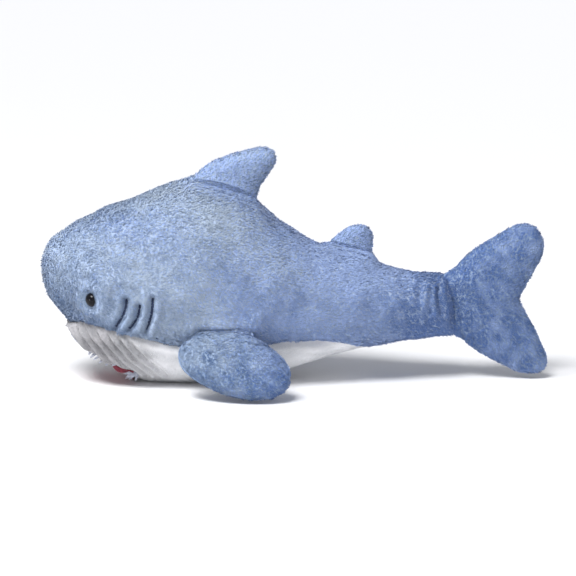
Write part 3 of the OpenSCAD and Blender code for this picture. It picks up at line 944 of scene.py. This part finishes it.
def add_fin(name, faces, surface, place, size, blend, nap, seed, skirt_on_u=False):
    """A stuffed fin: two cloth faces, its stuffing and its pile."""
    rows, columns = size
    grids = fin_grids(surface, place, skirt_on_u, rows, columns, FIN_INSET)
    for face, grid in zip(faces, grids):
        skin = shell(f"{name}_{face}_cloth", grid, FIN_CLOTH, [fin_cloth])
        finish_piece(skin, (f"{name}_{face}_panel",), blend=blend)
    middle = (grids[0] + grids[1]) / 2
    patches = []
    for k, grid in enumerate(grids):
        roots, normals, rng = scatter(grid, FIN_DENSITY, seed + k, middle)
        patches.append((roots, normals, nap(roots), np.full(len(roots), 0.92), rng))
    fur = pile(f"{name}_pile", patches, PILE, PILE_WIDTH, blue_tufts, fin_brushing_and_shading)
    finish_piece(fur, blend=blend)
    stuffing = fin_stuffing(name, surface, place)
    finish_piece(stuffing, (f"{name}_filling",), blend=blend)


def fin_stuffing(name, surface, place):
    """Lump of fibre inside a fin, clear of its cloth."""
    around = np.linspace(0, 2 * math.pi, 40, endpoint=False)
    along = np.linspace(0.12, 0.88, 26)
    v, angle = np.meshgrid(along, around, indexing="ij")
    m, t = surface(0.5 - 0.38 * np.cos(angle), v, 1)
    middle = m.mean(1, keepdims=True)
    m = middle + 0.86 * (m - middle)
    p = place(m, np.maximum(np.abs(t) - 4.4, 0.5) * np.sin(angle))
    p = p + 0.4 * lumps(p, 14, 33)[..., None] * unit(np.gradient(p, axis=0))
    return tube(f"{name}_stuffing", p, [fibre])


def steady_nap(direction):
    """Nap that lies one way all over a fin, give or take."""

    def nap(p):
        return np.tile(np.array(direction, float), (len(p), 1)) + 0.12 * lumps(p, 50, 23)[:, None]

    return nap


def tail_nap(p):
    """Nap that lies back and out to each tip of the tail fin."""
    nap = np.zeros_like(p)
    nap[:, 0] = 0.8
    nap[:, 2] = np.clip((p[:, 2] - 78) / 45, -1, 1)
    return nap


def root_blend(body, fin, point, away, low, high):
    """Blend across a fin's root seam: from low to high along away, off a point of the hinge."""
    point, away = Vector(point), Vector(away).normalized()
    return body, fin, tuple(point + away * low), tuple(point + away * high)


def add_upright_fins():
    """The two dorsal fins and the tail fin."""
    faces = ("left", "right")
    shape = rooted_fin(FIRST_LEAD, FIRST_TRAIL, 6.5, 25.0, 0.82, 13.0)
    blend = root_blend("torso", "first_dorsal", (-0.071, 0, 0.1995), (0.277, 0, 0.961), 0.002, 0.017)
    nap = steady_nap((0.75, 0, 0.55))
    add_fin("first_dorsal", faces, shape, upright, (54, 54), blend, nap, 200)
    shape = rooted_fin(SECOND_LEAD, SECOND_TRAIL, 1.5, 18.0, 0.85, 12.0)
    blend = root_blend("torso", "second_dorsal", (0.056, 0, 0.1365), (0.263, 0, 0.965), -0.001, 0.012)
    nap = steady_nap((0.8, 0, 0.45))
    add_fin("second_dorsal", faces, shape, upright, (34, 34), blend, nap, 210)
    blend = root_blend("tail_stock", "tail_fin", (0.164, 0, 0.076), (0.990, 0, 0.139), -0.003, 0.016)
    add_fin("tail_fin", faces, tail_surface, upright, (110, 44), blend, tail_nap, 220, True)


def add_pectoral_fins():
    """The two pectoral fins, which droop to either side."""
    shape = rooted_fin(PECTORAL_LEAD, PECTORAL_TRAIL, 0, 28.0, 0.62, 12.0, 0.6)
    for side, name in ((-1, "left_pectoral"), (1, "right_pectoral")):
        hinge = (-0.072, side * 0.08, 0.061)
        away = (0, side * math.cos(PECTORAL_DROOP), -math.sin(PECTORAL_DROOP))
        blend = root_blend("torso", name, hinge, away, -0.003, 0.012)
        nap = steady_nap((0.7, side * 0.45, -0.5))
        faces = ("lower", "upper")
        add_fin(name, faces, shape, drooped(side), (60, 60), blend, nap, 230 + 5 * side)


# ---------------- face


def add_mouth():
    """Red cloth that lines the mouth's pocket, with a few loose folds."""
    radial = np.linspace(0, 1, 40)
    around = np.linspace(-math.pi / 2, math.pi / 2, 90)
    q, t = np.meshgrid(radial, around, indexing="ij")
    s = MOUTH_CORNER + 1.5 - (MOUTH_LENGTH + 0.5) * q * np.cos(t)
    y = (MOUTH_WIDTH / 2 + 0.5) * q * np.sin(t)
    lean = y / section(s)[2]
    a = np.arctan2(lean, np.sqrt(np.clip(1 - lean ** 2, 0, 1)))
    inside = mouth_depth_in(s, y)
    p = body_point(s, a)
    shallow = 1 - 0.85 * corner_fold(s, y)
    folds = 3.2 * np.sin(t * 17) * q * (1 - q)
    bulge = hump(np.hypot(s - 80, np.abs(y) - 34), 9) * smooth(inside / 4)
    depth = 1.5 + 9.0 * shallow * smooth((inside + 1) / 10) + folds
    depth = depth + 0.5 * lumps(p, 16, 41) - 3.0 * bulge
    grid = p - depth[..., None] * body_normal(s, a)
    grid[..., 2] = np.maximum(grid[..., 2], 2.0)
    lining = shell("mouth_lining_cloth", grid, -1.2, [red_cloth])
    finish_piece(lining, ("mouth_lining",), body="torso")


def felt_tooth(root, out, along, length, width, bend):
    """Points and faces of one pointed felt tooth, a little curved and 1.4 mm thick."""
    thick = unit(np.cross(out, along)) * 0.7
    verts = []
    for t, w in ((-0.45, 1.0), (0.0, 1.0), (0.4, 0.72), (0.75, 0.38), (1.0, 0.10)):
        middle = root + out * length * t + np.cross(out, along) * bend * t * abs(t)
        for x, y in ((-1, -1), (1, -1), (1, 1), (-1, 1)):
            verts.append(middle + along * x * w * width / 2 + thick * y)
    return verts, tube_faces(5, 4)


def merged(parts):
    """Points and faces of many small pieces as one."""
    verts, faces = [], []
    for v, f in parts:
        faces += [[i + len(verts) for i in face] for face in f]
        verts += v
    return np.array(verts), faces


def finish_teeth(name, teeth, node):
    """One row of felt teeth, kept above the floor and with soft edges."""
    verts, faces = merged(teeth)
    verts[:, 2] = np.maximum(verts[:, 2], TOOTH_GAP)
    obj = new_object(name, verts * MM, faces, [felt], smooth_shading=False)
    bevel = obj.modifiers.new("soft_edges", "BEVEL")
    bevel.width = 0.0004
    bevel.segments = 2
    finish_piece(obj, (node,), body="torso")


def under_point(s, y):
    """Point of the white cloth seen from below at a distance from the nose and from the middle."""
    s = np.array([float(s)])
    a = np.arcsin(np.clip(y / section(s)[2], -1, 1))
    return raised(s, a, belly_relief, BELLY_INSET)[0]


def upper_teeth(rng):
    """Short points along the upper lip, turned in at the front and forward near the corners."""
    teeth = []
    for t in np.linspace(-72, 72, 29):
        c, d = math.cos(math.radians(t)), math.sin(math.radians(t))
        root = under_point(MOUTH_CORNER - (MOUTH_LENGTH + 1.0) * c, (MOUTH_WIDTH / 2 + 0.7) * d)
        along = unit(np.array([MOUTH_LENGTH * d, MOUTH_WIDTH / 2 * c, 0]))
        forward = smooth((abs(t) - 40) / 10)
        out = unit(np.array([0.9 - 1.9 * forward, 0.45 * d, -0.45]) + 0.2 * rng.normal(size=3))
        size = rng.uniform(0.8, 1.4) * (1 - 0.6 * smooth((abs(t) - 62) / 8))
        teeth.append(felt_tooth(root, out, along, 5.4 * size, 4.2, 1.0))
    return teeth


def lower_teeth(rng):
    """Longer points along the lower lip, fanned at its corners."""
    teeth = []
    across = np.array([0.0, 1.0, 0.0])
    for y in np.linspace(-33, 33, 11):
        root = under_point(MOUTH_CORNER + 1.5, y) + [0, 0, 1.0]
        out = unit(np.array([-1.0, 0.25 * np.sign(y), -0.05]) + 0.14 * rng.normal(size=3))
        teeth.append(felt_tooth(root, out, across, 8.0 * rng.uniform(0.8, 1.2), 5.0, 1.0))
    for side in (-1, 1):
        for forward, down, length in CORNER_TEETH:
            root = under_point(MOUTH_CORNER + 5.0, side * 37.5)
            out = unit(np.array([-forward, side * 0.45, -down]))
            along = unit(np.cross(out, [0.0, side * 1.0, 0.35]))
            teeth.append(felt_tooth(root, out, along, length, 5.0, 0.8))
    return teeth


def add_teeth():
    rng = np.random.default_rng(51)
    finish_teeth("upper_teeth_felt", upper_teeth(rng), "upper_teeth")
    finish_teeth("lower_teeth_felt", lower_teeth(rng), "lower_teeth")


def stitch(start, end, radius, normal):
    """Points and faces of one rounded stitch from start to end."""
    axis = unit(end - start)
    side = unit(np.cross(axis, normal))
    up = np.cross(side, axis)
    rings = ((0, 0.25), (0.08, 0.75), (0.25, 1.0), (0.5, 1.05), (0.75, 1.0), (0.92, 0.75), (1.0, 0.25))
    verts = []
    for t, r in rings:
        for k in range(8):
            angle = math.pi * k / 4
            off = math.cos(angle) * side + math.sin(angle) * up
            verts.append(start + (end - start) * t + radius * r * off)
    return verts, tube_faces(len(rings), 8)


def add_stitches(name, stitches, material, node):
    verts, faces = merged(stitches)
    obj = new_object(name, verts * MM, faces, [material])
    finish_piece(obj, (node,), body="torso")


def add_gills():
    """Satin stitches across each gill slit, deep in its fold."""
    for side, name in ((-1, "left"), (1, "right")):
        stitches = []
        for gill in GILLS:
            s, z = np.array(gill_line(gill, 30)).T
            a = side * angle_at(s, z)
            p = raised(s, a, side_relief, SKIN_INSET)
            n = body_normal(s, a)
            for k in range(len(p) - 1):
                along = unit(p[k + 1] - p[k])
                across = unit(np.cross(along, n[k]))
                centre = p[k] + n[k] * 1.3
                reach = across * 1.6 + along * 0.7
                stitches.append(stitch(centre - reach, centre + reach, 0.75, n[k]))
        node = f"{name}_gill_stitches"
        add_stitches(f"{name}_gill_threads", stitches, navy_thread, node)


def add_closing_seam():
    """Ladder stitches of the hand-sewn gap, on the right belly seam."""
    s = np.linspace(225, 275, 15)
    a = seam_angle(s)
    p = raised(s, a + 0.002, side_relief, SKIN_INSET)
    n = body_normal(s, a)
    stitches = []
    for centre, normal in zip(p + n, n):
        reach = 2.6 * unit(np.cross([1.0, 0, 0], normal))
        stitches.append(stitch(centre - reach, centre + reach + [0.8, 0, 0], 0.55, normal))
    add_stitches("closing_ladder_stitch", stitches, pale_thread, "closing_seam")


def dress_cad_nodes():
    """Hard pieces keep their CAD shape and get their finish."""
    for node, material, slot in (("left_eye", eye_plastic, "eye_plastic"),
                                 ("left_eye_washer", washer_plastic, "washer_plastic"),
                                 ("right_eye", eye_plastic, "eye_plastic"),
                                 ("right_eye_washer", washer_plastic, "washer_plastic")):
        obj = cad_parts[node]
        obj.data.materials.clear()
        obj.data.materials.append(material)
        obj.data.polygons.foreach_set("use_smooth", [True] * len(obj.data.polygons))


# ---------------- studio


def add_camera():
    """The camera stands off the left side, a little above it."""
    data = bpy.data.cameras.new("camera")
    data.lens = 600
    data.sensor_width = 36
    camera = linked("camera", data)
    target = Vector((-0.0063, 0, 0.0925))
    distance, elevation = 9.6, math.radians(12)
    camera.location = target + distance * Vector((0, -math.cos(elevation), math.sin(elevation)))
    camera.rotation_euler = (math.pi / 2 - elevation, 0, 0)
    bpy.context.scene.camera = camera


def add_light(name, kind, place, target, energy):
    """Light that shines from a place to a target."""
    data = bpy.data.lights.new(name, kind)
    data.energy = energy
    light = linked(name, data)
    light.location = place
    light.rotation_euler = (Vector(target) - Vector(place)).to_track_quat("-Z", "Y").to_euler()
    return data


def add_disk(name, place, target, energy, size):
    data = add_light(name, "AREA", place, target, energy)
    data.shape = "DISK"
    data.size = size


def add_studio():
    """Pale floor, soft light from above the shark's left, and a small light for the eye's glint."""
    world = bpy.data.worlds.new("studio")
    world.use_nodes = True
    background = world.node_tree.nodes["Background"]
    background.inputs["Color"].default_value = (0.93, 0.95, 1.0, 1)
    background.inputs["Strength"].default_value = 0.42
    bpy.context.scene.world = world
    sky = add_light("sky", "SUN", (-0.25, -0.50, 0.87), (0, 0, 0), 2.5)
    sky.angle = math.radians(22)
    add_disk("key", (-0.50, -0.35, 0.80), (-0.15, 0, 0.1), 4.0, 0.4)
    add_disk("glint", (-1.15, -0.80, 0.16), (-0.2, 0, 0.1), 2.2, 0.2)
    size = 30.0
    corners = np.array([(-size, -size, 0), (size, -size, 0), (size, size, 0), (-size, size, 0)])
    floor_paint, _ = principled("floor_paint", (0.92, 0.92, 0.93), 0.9)
    floor = new_object("floor", corners, [[0, 1, 2, 3]], [floor_paint])
    bpy.context.scene.view_settings.view_transform = "Standard"


add_camera()
add_studio()
add_sides()
add_belly()
add_stuffing()
add_upright_fins()
add_pectoral_fins()
add_mouth()
add_teeth()
add_gills()
add_closing_seam()
dress_cad_nodes()
